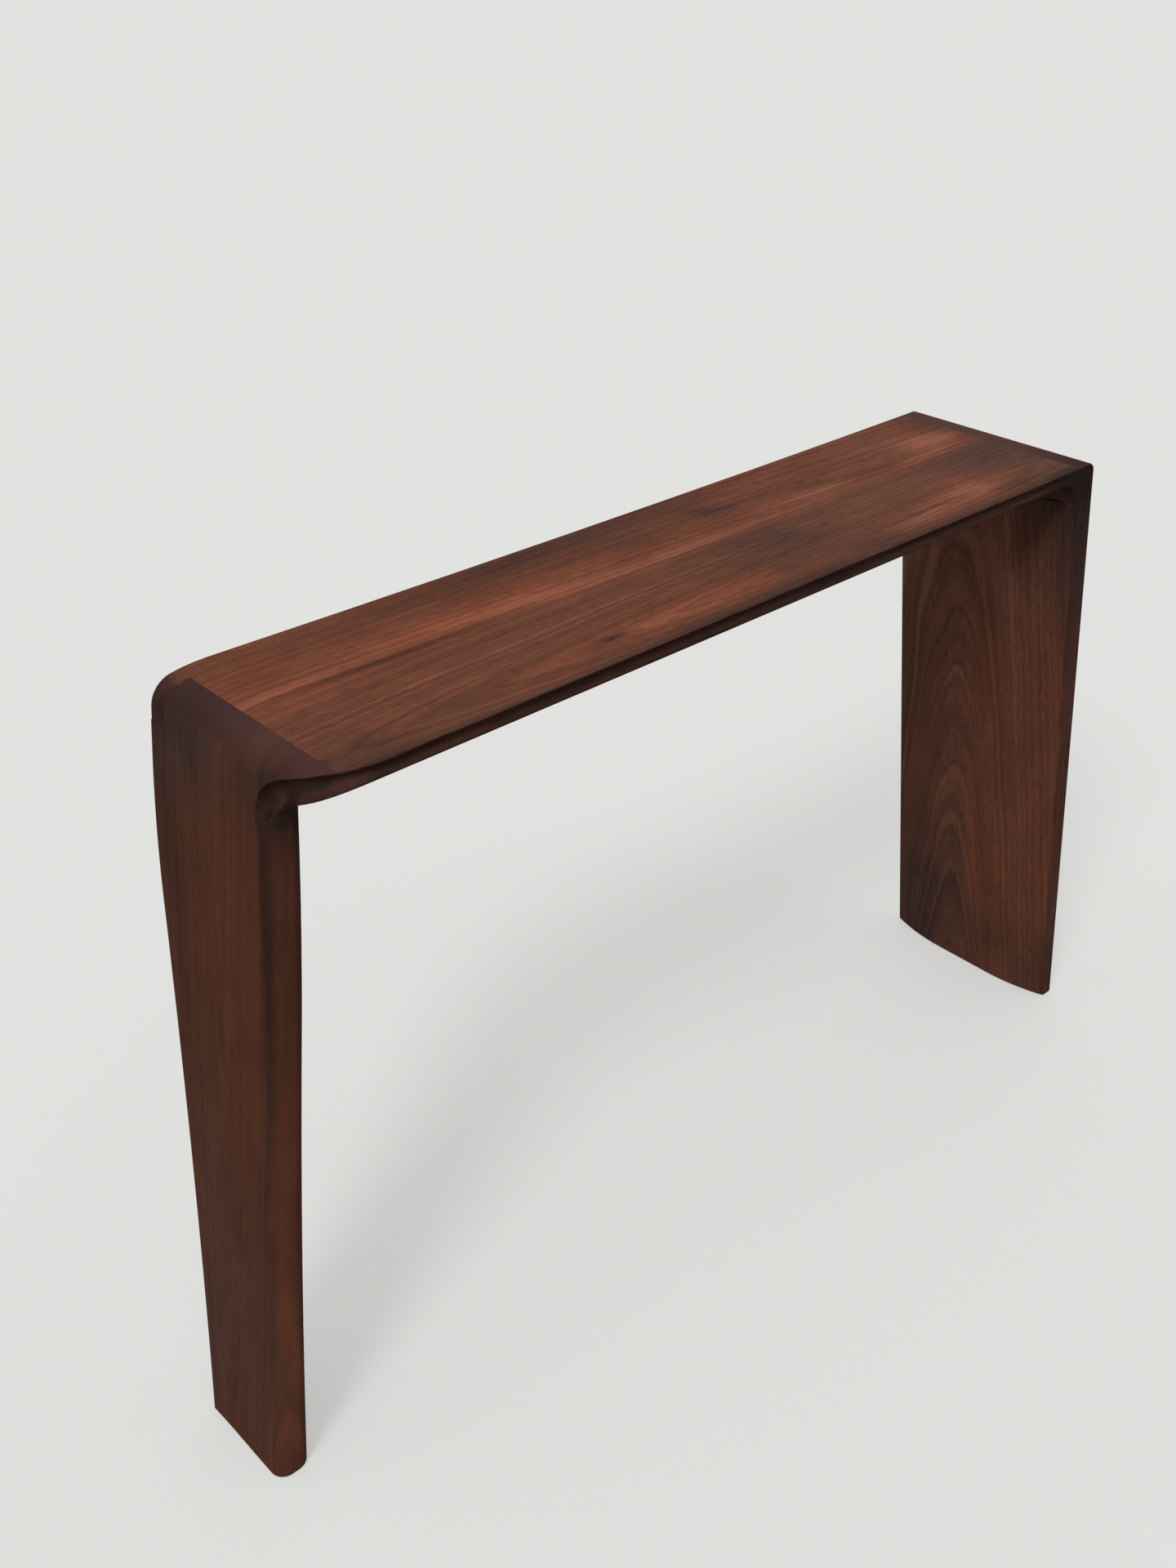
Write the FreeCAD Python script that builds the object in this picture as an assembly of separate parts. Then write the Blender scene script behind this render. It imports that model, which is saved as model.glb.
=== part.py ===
import FreeCAD, Part
import math
import os

from FreeCAD import Vector

# A carved walnut console table: two splayed slab legs joined to a long narrow top.
# Millimetres. X runs along the table, the front edge faces -Y, the feet stand on Z = 0.

# Overall sizes
height = 760.0
top_length = 1000.0
floor_span = 1180.0
depth = 248.0
back_taper = 5.0
back_hollow = 5.5

# Thicknesses of the top, carved thin towards its front and back edges
top_thickness = 40.0
edge_thickness = 14.0
bevel_width = 82.0

# Left leg: a narrow tapered blade with a rounded nose
blade_thickness = 37.5
nose_radius = 15.0
heel_radius = 2.0
nose_behind_front = 64.5
nose_foot_behind_front = 51.5
nose_bend_height = 480.0
nose_recess_radius = 3200.0
flare_radius = 28.0
heel_straight_height = 690.0
heel_bend_radius = 900.0
heel_bend_turn = 8.9
heel_hollow_radius = 7760.0

# Right leg: a full depth slab, thinner at its foot and along its edges
slab_thickness = 38.0
slab_foot_thickness = 31.0
slab_front_thickness = 34.0
slab_front_foot = 17.0
slab_back_thickness = 24.0
slab_back_foot = 17.0
inner_corner_radius = 26.0

# Outer corners, seen from the front
left_roll_radius = 180.0
left_roll_turn = 11.0
left_corner_radius = 28.0
right_corner_radius = 9.0

# Carved shoulder over the left leg
shoulder_radius = 62.0
cove_radius = 6.0
cove_depth = 3.6
cove_below_top = 6.5
cove_fade_length = 110.0
cove_turns = ((28.0, 2.5, 7.0), (46.0, 7.0, 8.5), (62.0, 12.0, 9.5), (75.0, 18.5, 11.0), (88.0, 29.0, 13.5))
cove_low_drop = 40.0
cove_low_radius = 13.0
cove_run_out = Vector(-8.0, -6.0, -16.0)
cove_end_radius = 9.0

# Boards and glue lines
top_glue_line = 3.5
right_glue_line = -0.5
left_glue_line = 15.5
left_seam_depth = 25.0
right_seam_depth = 27.0
back_lap_width = 24.0

# Loose tenons
tenon_thickness = 8.0
tenon_width = 24.0
tenon_length = 40.0
corner_tenon_length = 44.0
corner_tenon_in_leg = 13.0
glue_gap = 0.1
end_gap = 1.0
top_tenon_count = 5
right_leg_tenon_count = 4
left_leg_tenon_count = 4
corner_tenons_per_board = 2
corner_tenon_offset = 32.0
corner_tenon_pitch = 42.0

# Worked out from the sizes above
top_half = top_length / 2
front = -depth / 2
back = depth / 2
right_back = back - back_taper
nose_at_top = back - nose_behind_front
nose_at_floor = back - nose_foot_behind_front
lean_ratio = (floor_span - top_length) / 2 / height
lean = math.atan(lean_ratio)
underside = height - top_thickness
reach = floor_span
along_y = Vector(0, 1, 0)
overshoot = 5.0


def outer_x(z):
    """Distance of the sloping outer faces from the middle of the table, at height z."""
    return top_half + (height - z) * lean_ratio


def polygon_prism(points, direction):
    """A straight prism over a closed polygon."""
    wire = Part.makePolygon(points + [points[0]])
    return Part.Face(wire).extrude(direction)


def box_between(low, high):
    """An upright box between two corners."""
    size = high - low
    return Part.makeBox(size.x, size.y, size.z, low)


def turning_arc(start, radius, from_turn, to_turn, side):
    """Arc of the outer profile that turns from level towards the leg, in the XZ plane."""
    def point(turn):
        run = radius * (math.sin(turn) - math.sin(from_turn))
        drop = radius * (math.cos(from_turn) - math.cos(turn))
        return start + Vector(side * run, 0, -drop)

    middle = point((from_turn + to_turn) / 2)
    end = point(to_turn)
    return Part.Arc(start, middle, end).toShape(), end


def corner_start(radii_and_turns):
    """How far from the middle a corner's first arc begins, so that its last one meets the leg."""
    run = 0.0
    drop = 0.0
    for radius, from_turn, to_turn in radii_and_turns:
        run += radius * (math.sin(to_turn) - math.sin(from_turn))
        drop += radius * (math.cos(from_turn) - math.cos(to_turn))
    return outer_x(height - drop) - run


def outer_form():
    """The waterfall outline over its full depth, with its back edge hollowed and its arrises eased."""
    full_turn = math.pi / 2 - lean
    roll_turn = math.radians(left_roll_turn)
    left_arcs = [(left_roll_radius, 0.0, roll_turn), (left_corner_radius, roll_turn, full_turn)]
    right_arcs = [(right_corner_radius, 0.0, full_turn)]
    left_start = Vector(-corner_start(left_arcs), front, height)
    right_start = Vector(corner_start(right_arcs), front, height)
    edges = [Part.LineSegment(left_start, right_start).toShape()]
    ends = []
    for start, arcs, side in ((left_start, left_arcs, -1), (right_start, right_arcs, 1)):
        for radius, from_turn, to_turn in arcs:
            arc, start = turning_arc(start, radius, from_turn, to_turn, side)
            edges.append(arc)
        foot = Vector(side * outer_x(0), front, 0)
        edges.append(Part.LineSegment(start, foot).toShape())
        ends.append(foot)
    edges.append(Part.LineSegment(ends[0], ends[1]).toShape())
    wire = Part.Wire(Part.__sortEdges__(edges))
    form = Part.Face(wire).extrude(along_y * depth)
    return form.cut(back_edge_hollow())


def back_edge_hollow():
    """What is planed off behind the top's hollow back edge, and behind the right leg."""
    left_end = Vector(-top_half, back, -overshoot)
    middle = Vector(0, (back + right_back) / 2 - back_hollow, -overshoot)
    right_end = Vector(top_half, right_back, -overshoot)
    far_end = Vector(reach, right_back, -overshoot)
    far_corner = Vector(reach, back + overshoot, -overshoot)
    near_corner = Vector(-top_half, back + overshoot, -overshoot)
    edges = [
        Part.Arc(left_end, middle, right_end).toShape(),
        Part.makePolygon([right_end, far_end, far_corner, near_corner, left_end]),
    ]
    return Part.Face(Part.Wire(edges)).extrude(Vector(0, 0, height + 2 * overshoot))


def blade_inner_x(z):
    """Where the left leg's inner face lies, at height z."""
    return -(outer_x(z) - blade_thickness)


def left_seam_x(z):
    """Where the top's left end meets the left leg's end grain, at height z."""
    return -(outer_x(z) - left_seam_depth)


def right_seam_x(z):
    """Where the top's right end meets the right leg's end grain, at height z."""
    return outer_x(z) - right_seam_depth


def ledge_end():
    """How far the coved corner beside the left leg can reach along the top's underside."""
    return blade_inner_x(underside) + 2 * inner_corner_radius


def eased_edges(mid, front_drop, back_drop, rear):
    """Both edges of a crowned face and the flat between them, as points (y, out): arcs ease the face away
    from mid by each drop over the bevel's width, and run on past the front and the rear."""
    points = []
    for edge, inward, drop in ((front, 1, front_drop), (rear, -1, back_drop)):
        radius = (bevel_width ** 2 + drop ** 2) / (2 * drop)
        arc = []
        for run in (bevel_width + overshoot, bevel_width / 2, 0.0):
            arc.append((edge + inward * (bevel_width - run), mid + radius - math.sqrt(radius ** 2 - run ** 2)))
        points.append(arc)
    return points


def crowned_wire(place, mid, front_drop, back_drop, rear, far):
    """Closed outline of the space beside a crowned face; place turns (y, out) into a point."""
    front_arc, back_arc = eased_edges(mid, front_drop, back_drop, rear)
    front_points = [place(*point) for point in front_arc]
    back_points = [place(*point) for point in back_arc]
    far_back = place(back_arc[0][0], far)
    far_front = place(front_arc[0][0], far)
    edges = [
        Part.Arc(*front_points).toShape(),
        Part.LineSegment(front_points[2], back_points[2]).toShape(),
        Part.Arc(*reversed(back_points)).toShape(),
        Part.LineSegment(back_points[0], far_back).toShape(),
        Part.LineSegment(far_back, far_front).toShape(),
        Part.LineSegment(far_front, front_points[0]).toShape(),
    ]
    return Part.Wire(edges)


def under_top():
    """Everything below the top's crowned underside."""
    drop = top_thickness - edge_thickness
    wire = crowned_wire(lambda y, out: Vector(-reach, y, out), underside, drop, drop, back, -overshoot)
    return Part.Face(wire).extrude(Vector(2 * reach, 0, 0))


def beside_right_leg():
    """Everything to the left of the right leg's crowned inner face."""
    levels = (
        (height, slab_thickness, slab_front_thickness, slab_back_thickness),
        (0.0, slab_foot_thickness, slab_front_foot, slab_back_foot),
    )
    wires = []
    for z, middle, front_edge, back_edge in levels:
        face_x = outer_x(z) - middle
        wires.append(crowned_wire(
            lambda y, out: Vector(out, y, z),
            face_x, middle - front_edge, middle - back_edge, right_back, -reach))
    return Part.makeLoft(wires, True, True)


def beside_left_leg():
    """Everything to the right of the left leg's inner face."""
    y = front - overshoot
    points = [
        Vector(blade_inner_x(-overshoot), y, -overshoot),
        Vector(blade_inner_x(height), y, height),
        Vector(reach, y, height),
        Vector(reach, y, -overshoot),
    ]
    return polygon_prism(points, along_y * (depth + 2 * overshoot))


def edge_middle(edge):
    """The point half way along an edge, and the edge's direction there."""
    parameter = (edge.FirstParameter + edge.LastParameter) / 2
    return edge.valueAt(parameter), edge.tangentAt(parameter)


def knee_space():
    """The space between the legs, with coved corners under the top."""
    space = under_top().common(beside_right_leg()).common(beside_left_leg())
    corners = []
    for edge in space.Edges:
        middle, along = edge_middle(edge)
        under_corner = abs(middle.x) > -ledge_end() and middle.z > underside - overshoot
        if under_corner and abs(along.y) > abs(along.z):
            corners.append(edge)
    return space.makeFillet(inner_corner_radius, corners)


def front_overhang():
    """The space under the front bevel at the left end, where the top reaches past the leg."""
    low = Vector(-reach, front - overshoot, -overshoot)
    high = Vector(ledge_end(), front + bevel_width, height)
    return under_top().common(box_between(low, high))


def flare_top():
    """Height of the top's underside where the left leg's front flares into it."""
    drop = top_thickness - edge_thickness
    radius = (bevel_width ** 2 + drop ** 2) / (2 * drop)
    run = front + bevel_width + nose_at_top - nose_recess() + flare_radius
    return underside + radius - math.sqrt(radius ** 2 - run ** 2)


def nose_recess():
    """How far the left leg's front hollows in below the flare."""
    return (underside - flare_radius - nose_bend_height) ** 2 / (2 * nose_recess_radius)


def nose_profile():
    """Front of the left leg, seen from the side, from the floor up: leaning in, then flared at the top."""
    lean_in = nose_at_floor - nose_at_top
    low_radius = (nose_bend_height ** 2 + lean_in ** 2) / (2 * lean_in)
    half_way = nose_bend_height / 2
    sag = low_radius - math.sqrt(low_radius ** 2 - half_way ** 2)
    foot = Vector(-reach, -nose_at_floor, 0)
    bend = Vector(-reach, -nose_at_top, nose_bend_height)
    rise = flare_top() - flare_radius - nose_bend_height
    turn = math.asin(rise / (nose_recess_radius + flare_radius))

    def recessed(angle):
        recess = nose_recess_radius * (1 - math.cos(angle))
        return bend + Vector(0, recess, nose_recess_radius * math.sin(angle))

    flare_start = recessed(turn)
    flare_middle = flare_start + Vector(0, -math.cos(turn), math.sin(turn)) * flare_radius
    flare_half = flare_middle + Vector(0, 1, 1).normalize() * flare_radius
    flare_end = flare_middle + Vector(0, 0, flare_radius)
    edges = [
        Part.Arc(foot, Vector(-reach, -nose_at_top - sag, half_way), bend).toShape(),
        Part.Arc(bend, recessed(turn / 2), flare_start).toShape(),
        Part.Arc(flare_start, flare_half, flare_end).toShape(),
    ]
    return edges, foot, flare_end


def heel_profile():
    """Back of the left leg, seen from the side, from the top down: upright, bent in, then hollowed."""
    bend_turn = math.radians(heel_bend_turn)

    def bent(turn):
        in_by = heel_bend_radius * (1 - math.cos(turn))
        return Vector(-reach, back - in_by, heel_straight_height - heel_bend_radius * math.sin(turn))

    bend_end = bent(bend_turn)
    foot_turn = math.asin(math.sin(bend_turn) - bend_end.z / heel_hollow_radius)

    def hollowed(turn):
        in_by = heel_hollow_radius * (math.cos(turn) - math.cos(bend_turn))
        down_by = heel_hollow_radius * (math.sin(bend_turn) - math.sin(turn))
        return bend_end - Vector(0, in_by, down_by)

    foot = hollowed(foot_turn)
    foot.z = 0.0
    edges = [
        Part.Arc(bent(0.0), bent(bend_turn / 2), bend_end).toShape(),
        Part.Arc(bend_end, hollowed((bend_turn + foot_turn) / 2), foot).toShape(),
    ]
    return edges, bent(0.0), foot


def blade_profile():
    """Side view of the left leg, between its nose and its heel."""
    edges, nose_foot, nose_top = nose_profile()
    heel_edges, heel_bend, heel_foot = heel_profile()
    heel_top = Vector(-reach, back, nose_top.z)
    edges += [Part.LineSegment(nose_top, heel_top).toShape(), Part.LineSegment(heel_top, heel_bend).toShape()]
    edges += heel_edges
    edges.append(Part.LineSegment(heel_foot, nose_foot).toShape())
    return Part.Face(Part.Wire(edges)).extrude(Vector(2 * reach, 0, 0))


def blade():
    """The left leg, with its nose and heel rounded, up to where it flares into the top's underside."""
    points = [
        Vector(-outer_x(0), -reach, 0),
        Vector(-outer_x(flare_top()), -reach, flare_top()),
        Vector(blade_inner_x(flare_top()), -reach, flare_top()),
        Vector(blade_inner_x(0), -reach, 0),
    ]
    leg = polygon_prism(points, along_y * (2 * reach)).common(blade_profile())
    rounds = {nose_radius: [], heel_radius: []}
    for edge in leg.Edges:
        middle, along = edge_middle(edge)
        if abs(along.z) > abs(along.x) + abs(along.y) / 2:
            rounds[nose_radius if middle.y < 0 else heel_radius].append(edge)
    for radius, edges in rounds.items():
        leg = leg.makeFillet(radius, edges)
    under_lap = box_between(
        Vector(-reach, back - back_lap_width, underside), Vector(reach, reach, height))
    return leg.cut(under_lap)


def blade_ledge(carved):
    """The coved ledge on the left leg's inner face, which the top's end rests on."""
    low = 2 * nose_radius - nose_at_top
    high = back - nose_radius
    points = [
        Vector(blade_inner_x(0), low, 0),
        Vector(blade_inner_x(underside), low, underside),
        Vector(ledge_end(), low, underside),
        Vector(ledge_end(), low, 0),
    ]
    return carved.common(polygon_prism(points, along_y * (high - low)))


def left_end_zone():
    """The part of the top's left end that the leg's own wood takes up."""
    points = [
        Vector(-reach, front - overshoot, underside),
        Vector(left_seam_x(underside), front - overshoot, underside),
        Vector(left_seam_x(height + overshoot), front - overshoot, height + overshoot),
        Vector(-reach, front - overshoot, height + overshoot),
    ]
    return polygon_prism(points, along_y * (depth + overshoot - back_lap_width))


def right_leg_zone():
    """The right leg's wood: outboard of the seam, and everything under the top."""
    y = front - overshoot
    points = [
        Vector(right_seam_x(height + overshoot), y, height + overshoot),
        Vector(reach, y, height + overshoot),
        Vector(reach, y, -overshoot),
        Vector(right_seam_x(underside) - 2 * inner_corner_radius, y, -overshoot),
        Vector(right_seam_x(underside) - 2 * inner_corner_radius, y, underside),
        Vector(right_seam_x(underside), y, underside),
    ]
    return polygon_prism(points, along_y * (depth + 2 * overshoot))


def top_zone():
    """Everything above the underside, as far as the right leg."""
    y = front - overshoot
    points = [
        Vector(-reach, y, underside),
        Vector(right_seam_x(underside), y, underside),
        Vector(right_seam_x(height + overshoot), y, height + overshoot),
        Vector(-reach, y, height + overshoot),
    ]
    return polygon_prism(points, along_y * (depth + 2 * overshoot))


def shoulder_corner():
    """What is sawn off the front left corner, seen from above; the cut leans with the leg's outer face."""
    rise = Vector(lean_ratio, 0, 1)
    top_middle = Vector(-top_half + shoulder_radius, front + shoulder_radius, height)
    middle = top_middle + rise * overshoot
    points = [
        Vector(-reach, front - overshoot, middle.z),
        Vector(middle.x, front - overshoot, middle.z),
        middle,
        Vector(-reach, middle.y, middle.z),
    ]
    sheet = Part.Face(Part.makePolygon(points + [points[0]]))
    kept = Part.Face(Part.Wire(Part.makeCircle(shoulder_radius, middle)))
    return sheet.cut(kept).extrude(rise * -(overshoot + top_thickness + flare_radius))


def cove():
    """The groove under the front arris: straight along the top, then down round the shoulder and out."""
    stand_off = cove_radius - cove_depth
    y = front - stand_off
    z = height - cove_below_top
    turn_start = Vector(-top_half + shoulder_radius, y, z)
    straight_start = turn_start + Vector(shoulder_radius / 2, 0, 0)
    fade_start = Vector(top_half - cove_fade_length, y, z)
    fade_out = 2 * cove_depth
    fade_radius = (cove_fade_length ** 2 + fade_out ** 2) / (2 * fade_out)
    fade_turn = math.degrees(math.asin(cove_fade_length / fade_radius))
    stations = [(straight_start, cove_radius), (turn_start, cove_radius)]
    sweep = shoulder_radius + stand_off
    for turn, drop, radius in cove_turns:
        angle = math.radians(turn)
        across = Vector(-sweep * math.sin(angle), sweep * (1 - math.cos(angle)), -drop)
        stations.append((turn_start + across, radius))
    low_z = z - cove_low_drop
    low = Vector(-outer_x(low_z), -nose_at_top + cove_radius, low_z)
    stations.append((low, cove_low_radius))
    stations.append((low + cove_run_out, cove_end_radius))
    curve = Part.BSplineCurve()
    curve.interpolate(
        Points=[point for point, radius in stations],
        InitialTangent=Vector(-1, 0, 0),
        FinalTangent=cove_run_out)
    circles = []
    for point, radius in stations:
        tangent = Vector(*curve.tangent(curve.parameter(point))[0])
        circles.append(Part.Wire(Part.makeCircle(radius, point, tangent)))
    turned_rod = Part.makeLoft(circles, True, False)
    run = fade_start - straight_start
    straight_rod = Part.makeCylinder(cove_radius, run.Length, straight_start, run)
    fade_face = Part.Face(Part.Wire(Part.makeCircle(cove_radius, fade_start, run)))
    fading_rod = fade_face.revolve(fade_start - along_y * fade_radius, Vector(0, 0, -1), fade_turn)
    return [turned_rod, straight_rod, fading_rod]


def loose_tenon(middle, along, across, length, slack_side, slack_end):
    """A flat tenon with rounded edges, or its mortise when slack is given."""
    thick = tenon_thickness + 2 * slack_side
    flat = (tenon_width - tenon_thickness) / 2
    full = length + 2 * slack_end
    normal = along.cross(across)
    start = middle - along * (full / 2)
    corners = [
        start + across * flat + normal * (thick / 2),
        start + across * flat - normal * (thick / 2),
        start - across * flat - normal * (thick / 2),
        start - across * flat + normal * (thick / 2),
    ]
    right_tip = start + across * (flat + thick / 2)
    left_tip = start - across * (flat + thick / 2)
    edges = [
        Part.Arc(corners[0], right_tip, corners[1]).toShape(),
        Part.LineSegment(corners[1], corners[2]).toShape(),
        Part.Arc(corners[2], left_tip, corners[3]).toShape(),
        Part.LineSegment(corners[3], corners[0]).toShape(),
    ]
    return Part.Face(Part.Wire(edges)).extrude(along * full)


def spaced(low, high, count):
    """Even places between two ends, half a step in from each."""
    step = (high - low) / count
    return [low + (index + 0.5) * step for index in range(count)]


def tenon_places():
    """Name, middle, long direction, wide direction and length of every loose tenon."""
    along_x = Vector(1, 0, 0)
    level = height - top_thickness / 2
    left_seam = left_seam_x(level)
    right_seam = right_seam_x(level)
    places = []
    for index, x in enumerate(spaced(left_seam, right_seam, top_tenon_count)):
        middle = Vector(x, top_glue_line, level)
        places.append((f"top_edge_tenon_{index + 1}", middle, along_y, along_x, tenon_length))
    rising_right = Vector(-math.sin(lean), 0, math.cos(lean))
    for index, z in enumerate(spaced(0, underside, right_leg_tenon_count)):
        thickness = slab_foot_thickness + (slab_thickness - slab_foot_thickness) * z / height
        middle = Vector(outer_x(z) - thickness / 2, right_glue_line, z)
        places.append((f"right_leg_edge_tenon_{index + 1}", middle, along_y, rising_right, tenon_length))
    rising_left = Vector(math.sin(lean), 0, math.cos(lean))
    for index, z in enumerate(spaced(0, underside, left_leg_tenon_count)):
        middle = Vector(-outer_x(z) + blade_thickness / 2, left_glue_line, z)
        places.append((f"left_leg_edge_tenon_{index + 1}", middle, along_y, rising_left, tenon_length))
    inset = corner_tenon_length / 2 - corner_tenon_in_leg
    left_x = left_seam + inset
    right_x = right_seam - inset
    joints = (
        ("left_corner_front", left_x, -1, front + shoulder_radius),
        ("left_corner_back", left_x, 1, front),
        ("right_corner_front", right_x, -1, front),
        ("right_corner_back", right_x, 1, front),
    )
    for name, x, side, clear_from in joints:
        for index in range(corner_tenons_per_board):
            y = top_glue_line + side * (corner_tenon_offset + index * corner_tenon_pitch)
            if y - tenon_width / 2 > clear_from:
                middle = Vector(x, y, level)
                places.append((f"{name}_tenon_{index + 1}", middle, along_x, along_y, corner_tenon_length))
    return places


def halves(solid, glue_line):
    """The front and back boards of a panel, parted at its glue line."""
    front_half = box_between(Vector(-reach, -reach, -overshoot), Vector(reach, glue_line, height + overshoot))
    return solid.common(front_half), solid.cut(front_half)


def build():
    """All the pieces of the table, by name."""
    outer = outer_form()
    overhang = front_overhang()
    carved = outer.cut(knee_space()).cut(overhang)
    carving = [shoulder_corner()] + cove()
    left_end = left_end_zone()
    leg_top = outer.common(left_end).cut(overhang)
    left_leg = blade()
    panels = {
        "top": (carved.common(top_zone()).cut([left_end, left_leg]), top_glue_line),
        "right_leg": (carved.common(right_leg_zone()), right_glue_line),
        "left_leg": (left_leg.fuse([leg_top, blade_ledge(carved)]).removeSplitter(), left_glue_line),
    }
    pieces = {}
    for name, (panel, glue_line) in panels.items():
        front_board, back_board = halves(panel, glue_line)
        for cutter in carving:
            front_board = front_board.cut(cutter)
        pieces[f"{name}_front_board"] = front_board
        pieces[f"{name}_back_board"] = back_board
    boards = list(pieces)
    for node, middle, along, across, length in tenon_places():
        mortise = loose_tenon(middle, along, across, length, glue_gap, end_gap)
        for board in boards:
            if pieces[board].common(mortise).Volume > 0:
                pieces[board] = pieces[board].cut(mortise)
        pieces[node] = loose_tenon(middle, along, across, length, 0.0, 0.0)
    return pieces


os.makedirs("parts", exist_ok=True)
for node, shape in build().items():
    print(node, shape.ShapeType, len(shape.Solids), shape.isValid(), round(shape.Volume / 1000, 1), "cm3")
    shape.exportStep(f"parts/{node}.step")
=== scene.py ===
# %% [markdown]
# # A carved walnut console table
# The table is six walnut boards: two for the top and two for each leg, glued edge to edge and joined at
# the corners with hidden loose tenons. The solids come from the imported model, so this lesson spends its
# time on the camera, the light, the eased edges, and a walnut whose rings, streaks and pores run through
# the whole board.

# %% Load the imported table
import math

import bmesh
import bpy
from mathutils import Matrix, Vector
from mathutils.bvhtree import BVHTree


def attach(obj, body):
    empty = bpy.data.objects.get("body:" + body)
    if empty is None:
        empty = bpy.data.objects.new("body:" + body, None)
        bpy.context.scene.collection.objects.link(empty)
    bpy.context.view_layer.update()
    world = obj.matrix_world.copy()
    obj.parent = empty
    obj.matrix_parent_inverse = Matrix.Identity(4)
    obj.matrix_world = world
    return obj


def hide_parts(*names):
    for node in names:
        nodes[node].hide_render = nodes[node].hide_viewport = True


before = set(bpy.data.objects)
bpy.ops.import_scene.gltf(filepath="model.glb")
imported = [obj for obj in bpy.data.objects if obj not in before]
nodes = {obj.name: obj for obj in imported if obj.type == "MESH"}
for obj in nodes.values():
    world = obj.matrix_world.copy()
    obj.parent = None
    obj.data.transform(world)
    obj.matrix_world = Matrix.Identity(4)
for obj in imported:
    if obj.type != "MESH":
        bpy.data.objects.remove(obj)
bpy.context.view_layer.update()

# %% [markdown]
# ## Where the photographer stood
# The camera stands in front of the left corner, a little higher than a person's chest, and looks down
# across the top. A camera can be aimed with constraints, but turns written out in order are easier to
# check: first the tilt, then the heading, then the place. The long side of a portrait picture takes the
# 36 mm sensor.

# %% Set the camera
scene = bpy.context.scene
scene.view_settings.view_transform = "Standard"
picture_height = 1920
focal_pixels = 2068.5
heading = math.radians(41.80)
tilt = math.radians(30.84)
roll = math.radians(0.49)
standpoint = Vector((-1.0619, -1.0495, 1.3970))
camera_data = bpy.data.cameras.new("photo_camera")
camera_data.lens = camera_data.sensor_width * focal_pixels / picture_height
camera = bpy.data.objects.new("photo_camera", camera_data)
scene.collection.objects.link(camera)
camera.matrix_world = (
    Matrix.Translation(standpoint)
    @ Matrix.Rotation(-heading, 4, "Z")
    @ Matrix.Rotation(math.pi / 2 - tilt, 4, "X")
    @ Matrix.Rotation(-roll, 4, "Z")
)
scene.camera = camera
print("lens", round(camera_data.lens, 2), "mm")

# %% [markdown]
# ## Edges eased by hand
# The maker takes the sharpness off the outer edges with a plane and sandpaper, but leaves the glue lines
# closed. A Bevel modifier would open those lines, so a copy of each board is merged, its flat faces are
# joined up again, and only the sharp edges that lie on no other board are bevelled. The copy then stands
# for its node. The top's front board keeps its solid, because its front lip is too thin to ease.

# %% Copy the boards and say what is eased
weld_reach = 1e-6
sharp_angle = math.radians(40)
smooth_angle = math.radians(35)
flat_angle = math.radians(0.2)
glue_reach = 0.0006
foot_height = 0.001
heel_start = 0.043
back_strip_start = 0.115
lap_inner_end = -0.470
top_edge_height = 0.757
right_corner_height = 0.7595
easing = {
    "top_back_board": 0.0035,
    "left_leg_front_board": 0.0018,
    "left_leg_back_board": 0.0018,
    "right_leg_front_board": 0.0035,
    "right_leg_back_board": 0.0035,
}


def merged_copy(name):
    shape = bmesh.new()
    shape.from_mesh(nodes[name].data)
    bmesh.ops.remove_doubles(shape, verts=shape.verts, dist=weld_reach)
    return shape


board_names = [name for name in nodes if name.endswith("_board")]
copies = {name: merged_copy(name) for name in board_names}
surfaces = {name: BVHTree.FromBMesh(shape) for name, shape in copies.items()}
print("boards copied", len(copies))


# %% Find the outer edges
def is_eased_here(name, place):
    """The left leg is eased at its foot but not at its round heel, and the top along its back."""
    if name.startswith("left_leg"):
        return place.z <= foot_height and place.y <= heel_start
    if name == "top_back_board":
        on_lap_or_upper_edge = place.x <= lap_inner_end or place.z >= top_edge_height
        return place.y >= back_strip_start and on_lap_or_upper_edge
    if name == "right_leg_front_board":
        return place.z <= right_corner_height
    return True


def is_outer(name, edge):
    """True for a sharp edge that sticks out and lies on no other board."""
    if not edge.is_manifold or not edge.is_convex or edge.calc_face_angle() < sharp_angle:
        return False
    middle = (edge.verts[0].co + edge.verts[1].co) / 2
    if not is_eased_here(name, middle):
        return False
    others = [surfaces[other] for other in board_names if other != name]
    return min(other.find_nearest(middle)[3] for other in others) > glue_reach


print("boards to ease", len(easing))


# %% Ease the outer edges
def eased_board(name, width):
    shape = copies[name]
    bmesh.ops.dissolve_limit(
        shape, angle_limit=flat_angle, use_dissolve_boundaries=False,
        verts=shape.verts, edges=shape.edges, delimit=set())
    outer = [edge for edge in shape.edges if is_outer(name, edge)]
    before = shape.calc_volume()
    bmesh.ops.bevel(
        shape, geom=outer, offset=width, offset_type="OFFSET", segments=4, profile=0.5,
        affect="EDGES", clamp_overlap=False, material=-1)
    taken = before - shape.calc_volume()
    mesh = bpy.data.meshes.new(name + "_eased")
    shape.to_mesh(mesh)
    mesh.shade_smooth()
    mesh.set_sharp_from_angle(angle=smooth_angle)
    piece = bpy.data.objects.new(name + "_eased", mesh)
    scene.collection.objects.link(piece)
    level = piece.modifiers.new("flat_faces_stay_flat", "WEIGHTED_NORMAL")
    level.keep_sharp = True
    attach(piece, "root")
    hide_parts(name)
    print(name, "eased", len(outer), "edges, took off", round(taken * 1e6, 2), "cubic cm")
    return piece


eased = {name: eased_board(name, width) for name, width in easing.items()}
for shape in copies.values():
    shape.free()

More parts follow.
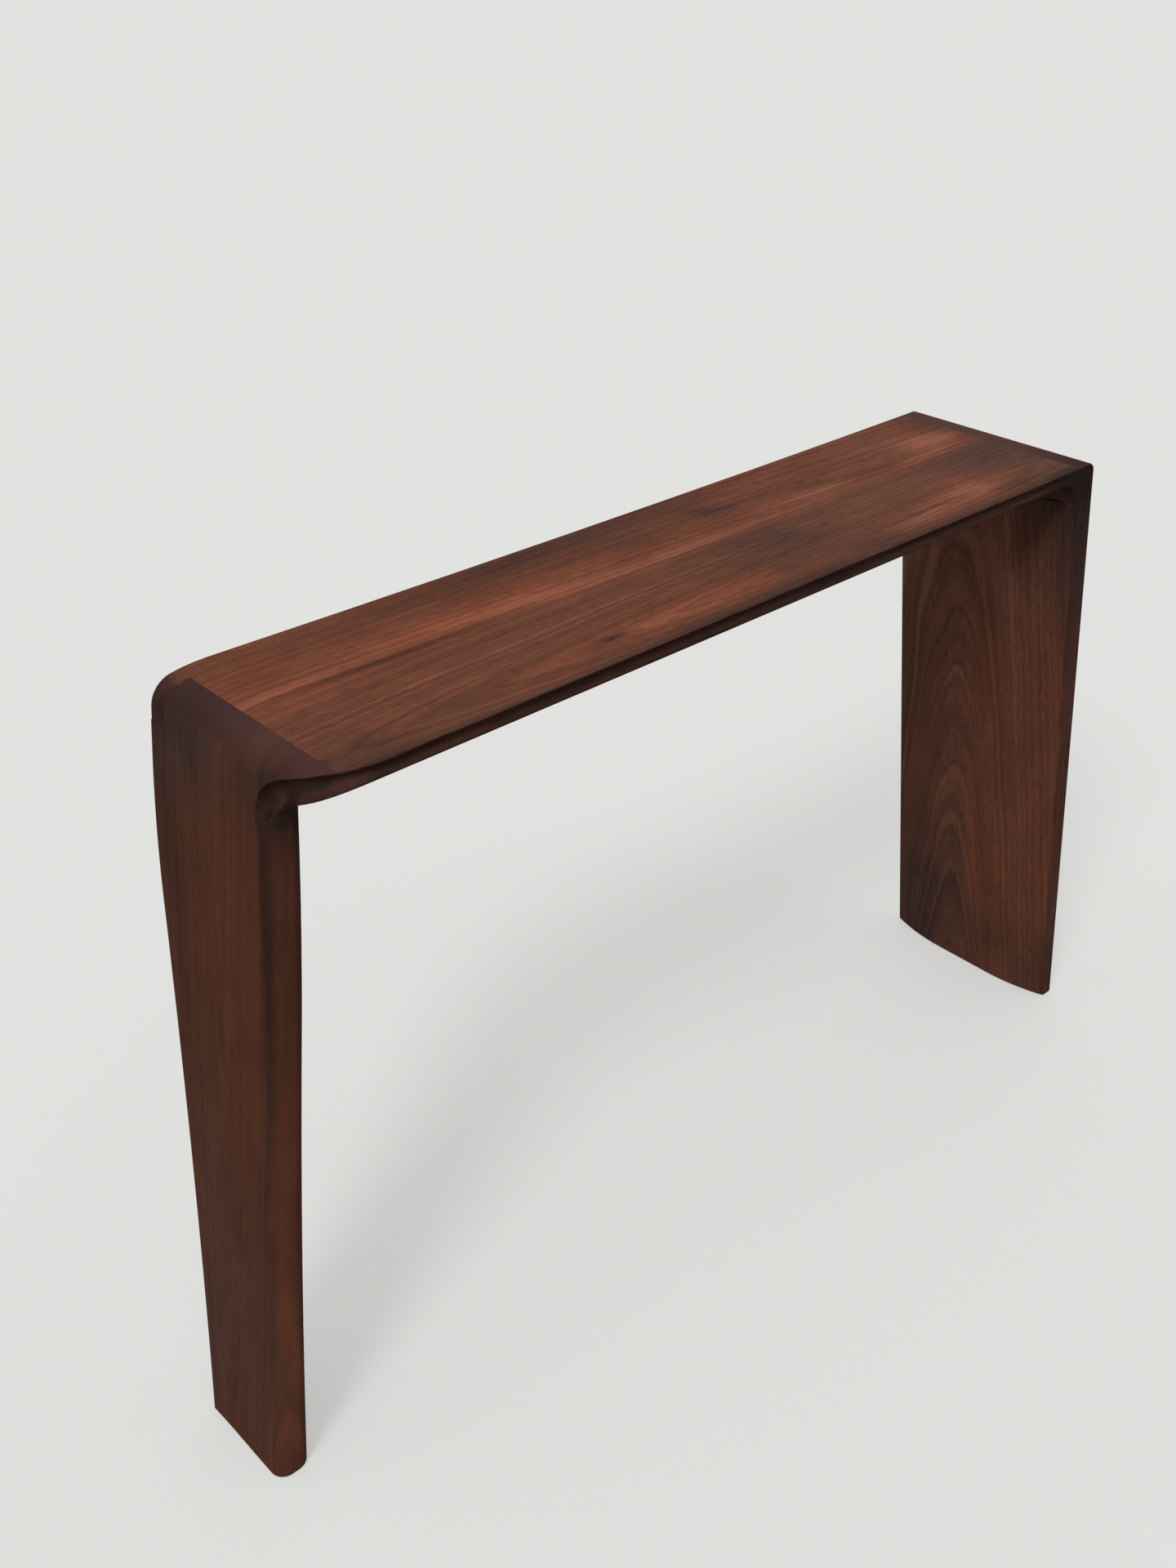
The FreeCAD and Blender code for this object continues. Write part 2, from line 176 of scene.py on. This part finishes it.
# %% [markdown]
# ## Shader maths as plain expressions
# A wood is mostly arithmetic on where a point lies in the board. Wiring Math nodes by hand hides that
# arithmetic, so a small wrapper lets a socket be added, scaled and compared in ordinary Python, and one
# method makes every other kind of node.


# %% A socket that does arithmetic
class Field:
    """A value that varies over the surface: each operator adds one Math node."""

    def __init__(self, bench, socket):
        self.bench = bench
        self.socket = socket

    def math(self, operation, *others):
        inputs = dict(enumerate((self, *others)))
        return self.bench.node("ShaderNodeMath", {"operation": operation}, inputs)

    def __add__(self, other):
        return self.math("ADD", other)

    __radd__ = __add__

    def __mul__(self, other):
        return self.math("MULTIPLY", other)

    __rmul__ = __mul__

    def __sub__(self, other):
        return self.math("SUBTRACT", other)

    def __rsub__(self, other):
        return self * -1.0 + other

    def __truediv__(self, other):
        return self.math("DIVIDE", other)

    def __pow__(self, other):
        return self.math("POWER", other)

    def rise(self, low, high):
        """A smooth step: nothing at low, all of it at high."""
        return self.bench.node(
            "ShaderNodeMapRange", {"interpolation_type": "SMOOTHSTEP"}, {0: self, 1: low, 2: high}
        )


print("sockets can be added and scaled")


# %% A bench for nodes, and a material on it
class Bench:
    """A node tree to build on."""

    def __init__(self, tree):
        self.tree = tree

    def node(self, kind, settings=None, inputs=None, output=0):
        made = self.tree.nodes.new(kind)
        for name, value in (settings or {}).items():
            if name == "stops":
                self.set_stops(made.color_ramp, value)
            else:
                setattr(made, name, value)
        for key, value in (inputs or {}).items():
            self.feed(made.inputs[key], value)
        return Field(self, made.outputs[output])

    def set_stops(self, ramp, stops):
        while len(ramp.elements) < len(stops):
            ramp.elements.new(1.0)
        for element, (place, colour) in zip(ramp.elements, stops):
            element.position = place
            element.color = (*colour, 1.0)

    def feed(self, socket, value):
        if isinstance(value, Field):
            self.tree.links.new(value.socket, socket)
        else:
            socket.default_value = value

    def mix(self, amount, first, second, blend="MIX"):
        """One colour that goes over into a second, or is multiplied by it."""
        return self.node(
            "ShaderNodeMix", {"data_type": "RGBA", "blend_type": blend},
            {0: amount, 6: first, 7: second}, output=2,
        )


class Finish(Bench):
    """A material under construction."""

    def __init__(self, name):
        self.material = bpy.data.materials.new(name)
        self.material.use_nodes = True
        super().__init__(self.material.node_tree)
        self.shader = self.tree.nodes["Principled BSDF"]

    def surface(self, sockets):
        for name, value in sockets.items():
            self.feed(self.shader.inputs[name], value)
        return self.material


print("shader helpers ready")

# %% [markdown]
# ## Walnut
# A board is a slice of a trunk, so its figure comes from the growth rings: circles round the pith, which
# lies outside the board and not quite parallel to it. Cutting those rings lengthwise gives the arches on
# a wide face and straight lines near the edges. The rings could be drawn with a wave texture, but real
# ones are uneven, so a one-dimensional noise read along the distance from the pith gives each ring its
# own shade. Streaks, clouds, mottle and short fibres are noises stretched along the grain.
#
# Every board works out one number, its tone, and one ramp turns the tone into walnut: dark tones are
# brown, and pale ones warm to salmon. A second number, the hue, cools the colour towards grey. Where the
# surface faces along the board it shows end grain, which drinks more oil and is dark and purplish. The
# faces that look to the front get painted shade: their colour is darkened towards a cool grey-purple.

# %% Walnut's colours
walnut_stops = [
    (0.00, (0.040, 0.0178, 0.0112)),
    (0.20, (0.063, 0.0260, 0.0160)),
    (0.40, (0.095, 0.0362, 0.0196)),
    (0.60, (0.136, 0.0460, 0.0226)),
    (0.80, (0.192, 0.0630, 0.0304)),
    (1.00, (0.282, 0.0970, 0.0500)),
]
warm_tint = (1.04, 0.90, 0.86, 1.0)
cool_tint = (0.96, 1.16, 1.52, 1.0)
# painted shade: the colour that faces looking to the front are multiplied towards
front_shade_tint = (0.23, 0.285, 0.42, 1.0)
pore_tint = (0.50, 0.46, 0.46, 1.0)
print("walnut stops", len(walnut_stops))

# %% How strong each part of the figure is
side_sway = 0.020
depth_sway = 0.012
patch_sway = 0.012
ripple_size = 0.006
line_share = 0.30
line_width = 0.11
plain_streaks = 0.14
grain_streaks = 0.10
cloud_strength = 0.14
mottle_strength = 0.32
thread_strength = 0.08
fibre_strength = 0.36
pore_strength = 0.60
cloud_hue = 0.6
streak_hue = 0.4
end_limit = 0.24
end_strength = 0.90
end_raggedness = 0.16
end_lift = 0.6
darkest_end = 0.25
front_ends_stop = -0.07
back_ends_start = 0.08
# where the painted shade on faces looking to the front begins and is full
front_shade_begins = 0.20
front_shade_is_full = 0.68
line_spacing = 0.7
line_shift = 40.0
pore_begins = 0.06
pore_is_full = 0.20
relief_strength = 0.2
relief_height = 0.0003
mid_roughness = 0.50
uneven_roughness = 0.10
print("fibres", fibre_strength, "mottle", mottle_strength, "clouds", cloud_strength)


# %% A board with noise stretched along its grain
class Board(Finish):
    """A board under construction. Its grain runs along its own X after a turn about Y."""

    def __init__(self, name, turn, seed):
        super().__init__(name)
        self.turn = (0.0, turn, 0.0)
        self.seed = seed
        place = self.node("ShaderNodeTexCoord", output="Object")
        turned = self.node("ShaderNodeMapping", None, {"Vector": place, "Rotation": self.turn})
        self.along, self.across, self.deep = (self.axis(turned, letter) for letter in "XYZ")
        self.shifted = self.node(
            "ShaderNodeVectorMath", {"operation": "ADD"}, {0: turned, 1: (seed, seed, 0.0)}
        )
        self.sway = self.noise(along=2.2, across=9.0)

    def axis(self, vector, letter):
        return self.node("ShaderNodeSeparateXYZ", None, {0: vector}, output=letter)

    def facing(self):
        """Which way the surface faces, in the board's own directions."""
        normal = self.node("ShaderNodeTexCoord", output="Normal")
        return self.node(
            "ShaderNodeMapping", {"vector_type": "NORMAL"}, {"Vector": normal, "Rotation": self.turn}
        )

    def noise(self, along, across, detail=2.0, roughness=0.5):
        """Noise about nought that changes so many times in a metre along the grain and across it."""
        stretched = self.node(
            "ShaderNodeVectorMath", {"operation": "MULTIPLY"},
            {0: self.shifted, 1: (along, across, across)},
        )
        return self.node(
            "ShaderNodeTexNoise", None,
            {"Vector": stretched, "Scale": 1.0, "Detail": detail, "Roughness": roughness},
        ) - 0.5

    def ring_noise(self, place, detail, roughness=0.5):
        """Noise about nought along a single line, read at the given place on it."""
        return self.node(
            "ShaderNodeTexNoise", {"noise_dimensions": "1D"},
            {"W": place, "Scale": 1.0, "Detail": detail, "Roughness": roughness},
        ) - 0.5


print("a board's grain runs along its X")


# %% Growth rings and soft patches
def growth_rings(wood, pith, drift, ring_width):
    """The uneven shade of the rings, and the thin dark lines where a year's growth ends."""
    ripple = wood.noise(along=9.0, across=30.0)
    side = wood.across - pith[0] - wood.along * drift[0] + wood.sway * side_sway + ripple * ripple_size
    below = wood.deep - pith[1] - wood.along * drift[1] + wood.sway * depth_sway
    from_pith = (side * side + below * below) ** 0.5
    rings = wood.ring_noise(from_pith / ring_width + wood.seed, 3.0, 0.62)
    ring_ends = wood.ring_noise(from_pith / ring_width * line_spacing + (wood.seed + line_shift), 0.5)
    lines = 1.0 - ring_ends.math("ABSOLUTE").rise(0.0, line_width)
    return rings, lines


def soft_patches(wood, patches):
    """How much paler and how much greyer the patches make each point, from figure and painted shade
    alike.
    """
    lift = 0.0
    grey = 0.0
    for middle_along, middle_across, half_long, half_wide, slope, paler, greyer in patches:
        from_middle = wood.along - middle_along
        from_line = wood.across - middle_across - from_middle * slope + wood.sway * patch_sway
        down_board = from_middle / half_long
        over_board = from_line / half_wide
        reach = (down_board * down_board + over_board * over_board) * -1.0
        patch = reach.math("EXPONENT")
        lift = patch * paler + lift
        grey = patch * greyer + grey
    return lift, grey


print("rings and patches ready")


# %% End grain and painted shade on front edges
def cut_faces(wood, colour, clouds, lift, ends, painted_front_shade):
    """Lay end grain over a board's colour, and paint shade on the faces that look to the front."""
    facing = wood.facing()
    lengthwise = wood.axis(facing, "X")
    end_grain = (lengthwise * lengthwise + clouds * end_raggedness).rise(0.0, end_limit) * end_strength
    front_ends, back_ends = ends
    backward = wood.across.rise(front_ends_stop, back_ends_start)
    end_colour = wood.mix(backward, (*front_ends, 1.0), (*back_ends, 1.0))
    # the patches, painted shade among them, also darken or lighten the end grain
    end_light = (lift * end_lift + 1.0).math("MAXIMUM", darkest_end)
    end_lit = wood.mix(1.0, end_colour, end_light, "MULTIPLY")
    cut = wood.mix(end_grain, colour, end_lit)
    frontward = wood.axis(facing, "Y") * -1.0
    # painted shade: faces that look to the front are darkened as if in shade, but not on end grain
    edge = frontward.rise(front_shade_begins, front_shade_is_full) * (1.0 - end_grain) * painted_front_shade
    return wood.mix(edge, cut, front_shade_tint, "MULTIPLY")


print("end grain ready")


# %% One board of walnut
def walnut(
    name, turn, seed, base_tone, base_hue, pith, drift, ring_width, ring_depth, grain, ends,
    painted_front_shade, patches,
):
    """A finish for one board."""
    wood = Board(name, turn, seed)
    rings, lines = growth_rings(wood, pith, drift, ring_width)
    lift, grey = soft_patches(wood, patches)
    streaks = wood.noise(along=1.1, across=34.0, detail=3.0, roughness=0.55)
    threads = wood.noise(along=3.0, across=190.0)
    clouds = wood.noise(along=5.0, across=14.0)
    mottle = wood.noise(along=16.0, across=30.0)
    fibres = wood.noise(along=70.0, across=320.0, detail=3.0, roughness=0.70)
    pores = wood.noise(along=60.0, across=820.0, detail=1.0).rise(pore_begins, pore_is_full)
    figure = rings * ring_depth - lines * ring_depth * line_share
    figure = figure + streaks * (plain_streaks + grain_streaks * grain)
    figure = figure + clouds * cloud_strength + mottle * mottle_strength
    figure = figure + (threads * thread_strength + fibres * fibre_strength) * grain
    tone = figure + base_tone + lift
    hue = clouds * cloud_hue - streaks * streak_hue + base_hue + grey
    colour = wood.node("ShaderNodeValToRGB", {"stops": walnut_stops}, {0: tone}, output="Color")
    tinted = wood.mix(1.0, colour, wood.mix(hue, warm_tint, cool_tint), "MULTIPLY")
    cut = cut_faces(wood, tinted, clouds, lift, ends, painted_front_shade)
    shaded = wood.mix(pores * (pore_strength * grain), cut, pore_tint, "MULTIPLY")
    relief = wood.node(
        "ShaderNodeBump", None,
        {"Height": fibres - pores, "Strength": relief_strength, "Distance": relief_height},
    )
    return wood.surface({
        "Base Color": shaded,
        "Roughness": pores * uneven_roughness - streaks * uneven_roughness + mid_roughness,
        "Normal": relief,
        "Specular IOR Level": 0.06,
    })


foot_reach = 0.09
table_height = 0.76
lean = math.atan2(foot_reach, table_height)
left_turn = math.pi / 2 - lean
right_turn = math.pi / 2 + lean
print("leg lean", round(math.degrees(lean), 2))

# %% [markdown]
# ## The six boards
# Each board is told where the pith of its tree lay and how far it drifts along the board, which sets the
# arches, and then gets a few soft patches: a pale streak beside a glue line, a knot, a dark cloud, and on
# some boards painted shade, painted light and a painted highlight. A patch gives the middle along and
# across the board, half its length and width, its slope, how much paler it is and how much greyer. They
# could be painted on a picture, but worked out from the place in the board they run right through its
# thickness.

# %% Patches on the top
top_front_figure_and_painted_shade = [
    # painted shade: darker along the front edge and its lip
    (0.000, -0.126, 1.200, 0.0085, 0.00, -0.42, 0.15),
    (-0.450, -0.004, 0.060, 0.014, 0.00, 0.16, -0.10),
    (0.085, -0.050, 0.080, 0.055, 0.00, -0.25, 0.25),
    (0.335, -0.082, 0.075, 0.022, 0.00, 0.34, 0.05),
    (0.235, -0.098, 0.040, 0.012, 0.00, 0.23, 0.00),
    (0.430, -0.020, 0.070, 0.055, 0.00, -0.18, 0.45),
    (-0.090, -0.090, 0.110, 0.018, 0.00, 0.26, -0.20),
    (-0.265, -0.090, 0.035, 0.012, 0.00, 0.18, -0.15),
    (-0.171, -0.0885, 0.012, 0.004, 0.00, -0.65, 0.40),
    (0.243, -0.0875, 0.065, 0.0022, 0.02, -0.39, 0.10),
    # painted shade: darker at the rounded right end
    (0.470, -0.060, 0.040, 0.080, 0.00, -0.14, 0.55),
    # painted shade: darker where the front edge rolls over the left shoulder
    (-0.460, -0.105, 0.060, 0.030, 0.00, -0.24, 0.05),
    (0.385, -0.104, 0.040, 0.009, 0.00, -0.30, 0.10),
    (0.165, -0.105, 0.035, 0.010, 0.00, -0.22, 0.05),
    (0.270, -0.035, 0.140, 0.055, 0.00, -0.02, 0.22),
    # painted shade: darker under the lip at the right corner
    (0.460, -0.122, 0.040, 0.008, 0.00, -0.40, 0.20),
]
top_back_patches = [
    (-0.170, 0.020, 0.130, 0.010, -0.074, 0.29, -0.10),
    (0.070, 0.009, 0.150, 0.010, 0.00, 0.13, 0.25),
    (-0.330, 0.0125, 0.090, 0.0045, -0.045, -0.44, 0.00),
    (-0.430, 0.026, 0.090, 0.006, -0.02, 0.16, -0.05),
    (-0.250, 0.040, 0.200, 0.018, -0.02, 0.18, -0.25),
    (-0.050, 0.098, 0.200, 0.022, 0.00, -0.36, 0.25),
    (0.100, 0.060, 0.032, 0.014, -0.40, -0.24, 0.15),
    (-0.010, 0.045, 0.035, 0.020, 0.00, -0.13, 0.10),
    (0.430, 0.045, 0.055, 0.022, -0.20, 0.30, 0.05),
    (0.360, 0.085, 0.070, 0.030, 0.00, 0.02, 0.15),
    (0.230, 0.040, 0.090, 0.006, -0.175, -0.17, 0.05),
    (-0.520, 0.112, 0.036, 0.018, 0.00, -0.34, 0.70),
    (0.480, 0.070, 0.032, 0.080, 0.00, -0.28, 0.60),
    (0.000, 0.006, 0.460, 0.004, 0.00, 0.10, 0.00),
    (-0.080, 0.060, 0.400, 0.012, 0.00, -0.19, 0.10),
    (-0.200, 0.090, 0.160, 0.018, 0.00, -0.11, 0.00),
    (0.200, 0.024, 0.065, 0.009, 0.00, 0.28, 0.15),
    (0.385, 0.018, 0.055, 0.011, 0.00, 0.27, 0.20),
    (-0.435, 0.023, 0.045, 0.006, 0.00, 0.16, 0.05),
    (0.330, 0.055, 0.140, 0.080, 0.00, 0.00, 0.28),
]
print("patches on the top", len(top_front_figure_and_painted_shade) + len(top_back_patches))

# %% Patches on the legs
left_front_figure_and_painted_light = [
    (0.560, -0.0469, 0.130, 0.0050, 0.0317, -0.50, 0.60),
    (0.320, -0.0527, 0.120, 0.0045, 0.0128, -0.07, 0.50),
    (0.060, -0.0593, 0.130, 0.0045, 0.0400, -0.08, 0.40),
    # paler strips down the nose's front: partly the wood, partly painted light where the nose gets little
    # light
    (0.560, -0.0579, 0.130, 0.0055, 0.0313, 0.22, 0.90),
    (0.320, -0.0638, 0.120, 0.0055, 0.0132, 0.58, 0.75),
    (0.060, -0.0702, 0.130, 0.0055, 0.0387, 0.52, 0.65),
    (0.690, -0.020, 0.065, 0.060, 0.00, -0.14, 0.95),
    # painted shade: dark plum in the hollow of the hook at the top of the nose
    (0.664, -0.066, 0.032, 0.020, 0.00, -0.62, 1.40),
    (0.672, -0.105, 0.036, 0.022, 0.00, -0.40, 1.10),
    (0.637, -0.0445, 0.010, 0.006, 0.00, -1.00, 0.40),
    # painted highlight: a pale mauve gleam in the hook
    (0.652, -0.0580, 0.018, 0.014, 0.00, 0.30, 0.50),
    (0.700, -0.030, 0.030, 0.018, 0.00, 0.22, 0.00),
    (0.060, -0.020, 0.240, 0.060, 0.00, 0.00, 0.80),
]
left_back_figure_and_painted_shade = [
    # painted shade: a dark band along the round heel
    (0.560, 0.098, 0.220, 0.020, 0.12, -0.18, 0.25),
    (0.690, 0.070, 0.080, 0.080, 0.00, -0.22, 1.30),
    (0.060, 0.030, 0.240, 0.060, 0.00, -0.02, 0.90),
]
right_front_figure_and_painted_light = [
    (0.600, -0.060, 0.100, 0.120, 0.00, -0.02, 0.45),
    (0.600, -0.112, 0.100, 0.022, 0.00, -0.36, 0.25),
    # painted light: paler just under the top, against the shade there
    (0.560, -0.020, 0.075, 0.045, 0.00, 0.34, 0.25),
    # painted shadow: dark wedge cast by the top's lip on the corner
    (0.690, -0.108, 0.045, 0.040, 0.00, -0.55, 0.30),
    (-0.010, -0.050, 0.060, 0.120, 0.00, -0.17, 0.15),
    (0.330, -0.040, 0.100, 0.025, 0.00, -0.07, 0.10),
]
right_back_patches = [
    (0.580, 0.050, 0.200, 0.100, 0.00, 0.20, 0.25),
    (0.000, 0.070, 0.150, 0.085, 0.00, -0.34, 0.10),
]
print("patches on the left leg", len(left_front_figure_and_painted_light) + len(left_back_figure_and_painted_shade))
print("patches on the right leg", len(right_front_figure_and_painted_light) + len(right_back_patches))

# %% Make a finish for each board
left_ends = ((0.080, 0.0330, 0.0268), (0.050, 0.0234, 0.0210))
right_ends = ((0.076, 0.0350, 0.0285), (0.070, 0.0330, 0.0275))
left_tree = {"pith": (0.018, 0.555), "drift": (0.0, 0.05), "ring_width": 0.0060, "ring_depth": 0.26}
right_tree = {"pith": (0.0235, -0.6173), "drift": (0.0, -0.07), "ring_width": 0.0042}
finishes = {
    "top_front_board": walnut(
        "walnut_top_front", turn=0.0, seed=3.0, base_tone=0.69, base_hue=0.50,
        pith=(-0.0905, 0.749), drift=(0.0, 0.055), ring_width=0.0050, ring_depth=0.52, grain=1.0,
        ends=left_ends, painted_front_shade=0.42, patches=top_front_figure_and_painted_shade),
    "top_back_board": walnut(
        "walnut_top_back", turn=0.0, seed=8.0, base_tone=0.71, base_hue=0.30,
        pith=(0.300, 0.640), drift=(-0.025, 0.0), ring_width=0.0060, ring_depth=0.40, grain=1.0,
        ends=left_ends, painted_front_shade=0.00, patches=top_back_patches),
    "left_leg_front_board": walnut(
        "walnut_left_front", turn=left_turn, seed=11.0, base_tone=0.41, base_hue=-0.20, **left_tree,
        grain=0.35, ends=left_ends, painted_front_shade=0.00, patches=left_front_figure_and_painted_light),
    "left_leg_back_board": walnut(
        "walnut_left_back", turn=left_turn, seed=17.0, base_tone=0.42, base_hue=-0.10, **left_tree,
        grain=0.35, ends=left_ends, painted_front_shade=0.00, patches=left_back_figure_and_painted_shade),
    "right_leg_front_board": walnut(
        "walnut_right_front", turn=right_turn, seed=23.0, base_tone=0.73, base_hue=0.62, **right_tree,
        ring_depth=0.48, grain=0.90, ends=right_ends, painted_front_shade=0.47, patches=right_front_figure_and_painted_light),
    "right_leg_back_board": walnut(
        "walnut_right_back", turn=right_turn, seed=23.0, base_tone=0.73, base_hue=0.95, **right_tree,
        ring_depth=0.58, grain=0.90, ends=right_ends, painted_front_shade=0.00, patches=right_back_patches),
}
print("walnut finishes", sorted(finishes))

# %% [markdown]
# ## Beech tenons
# The loose tenons sit inside their mortises, so nothing of them shows. They still get a plain pale beech
# with its small flecks, for anyone who takes the joints apart.


# %% Make the beech and dress every piece
def beech():
    wood = Finish("beech_tenon")
    place = wood.node("ShaderNodeTexCoord", output="Object")
    flecks = wood.node("ShaderNodeTexNoise", None, {"Vector": place, "Scale": 420.0, "Detail": 2.0})
    beech_stops = [(0.3, (0.42, 0.24, 0.11)), (0.7, (0.58, 0.37, 0.20))]
    colour = wood.node("ShaderNodeValToRGB", {"stops": beech_stops}, {0: flecks}, output="Color")
    return wood.surface({"Base Color": colour, "Roughness": flecks * 0.2 + 0.5})


tenon_finish = beech()
for name, piece in nodes.items():
    piece.data.materials.clear()
    piece.data.materials.append(finishes.get(name, tenon_finish))
for name, piece in eased.items():
    piece.data.materials.append(finishes[name])
print("dressed", len(nodes), "pieces")

# %% [markdown]
# ## Floor and light
# The photograph has a pale seamless floor and very soft light, with a faint shadow running back to the
# right. An area lamp would leave the far floor dim, so the world itself is the soft box: a ceiling that
# is bright overhead and dim at the horizon, which leaves the legs and the cove darker than the top. A sun
# with a very wide disc comes from the front left for the shadow. The floor looks pale to the camera and
# gives back less light than it shows, as a floor does in a room whose walls are far away.

# %% Lay the floor
floor_half_width = 60.0
floor_for_light = (0.25, 0.25, 0.245, 1.0)
floor_for_eye = (0.360, 0.360, 0.353, 1.0)
no_glow = (0.0, 0.0, 0.0, 1.0)
glow_for_eye = (0.405, 0.405, 0.397, 1.0)
floor_mesh = bpy.data.meshes.new("studio_floor")
sheet = bmesh.new()
bmesh.ops.create_grid(sheet, x_segments=1, y_segments=1, size=floor_half_width)
sheet.to_mesh(floor_mesh)
sheet.free()
floor = bpy.data.objects.new("studio_floor", floor_mesh)
scene.collection.objects.link(floor)
floor_paint = Finish("studio_floor")
floor_seen = floor_paint.node("ShaderNodeLightPath", output="Is Camera Ray")
floor_mesh.materials.append(floor_paint.surface({
    "Base Color": floor_paint.mix(floor_seen, floor_for_light, floor_for_eye),
    "Emission Color": floor_paint.mix(floor_seen, no_glow, glow_for_eye),
    "Emission Strength": 1.0,
    "Roughness": 0.9,
    "Specular IOR Level": 0.0,
}))
print("floor laid")

# %% Make the air a soft box
air_low = 0.12
air_high = 1.08
air_for_eye = 0.755
world = bpy.data.worlds.new("studio_air")
scene.world = world
world.use_nodes = True
air = Bench(world.node_tree)
toward = air.node("ShaderNodeTexCoord", output="Generated")
upward = air.node("ShaderNodeSeparateXYZ", None, {0: toward}, output="Z").math("MAXIMUM", 0.0)
glow = upward * upward * air_high + air_low
air_seen = air.node("ShaderNodeLightPath", output="Is Camera Ray")
background = world.node_tree.nodes["Background"]
background.inputs["Color"].default_value = (1.0, 1.0, 0.985, 1.0)
air.feed(background.inputs["Strength"], air_seen * (air_for_eye - glow) + glow)
print("air from", air_low, "to", air_low + air_high)

# %% Hang the sun
sun_height = math.radians(45)
sun_from = Vector((-0.90, -0.43, 0.0)).normalized() * math.cos(sun_height)
sun_from.z = math.sin(sun_height)
sun_data = bpy.data.lights.new("front_left_window", "SUN")
sun_data.energy = 1.45
sun_data.angle = math.radians(17)
sun = bpy.data.objects.new("front_left_window", sun_data)
scene.collection.objects.link(sun)
sun.rotation_euler = sun_from.to_track_quat("Z", "Y").to_euler()
print("sun", round(sun_data.energy, 2))
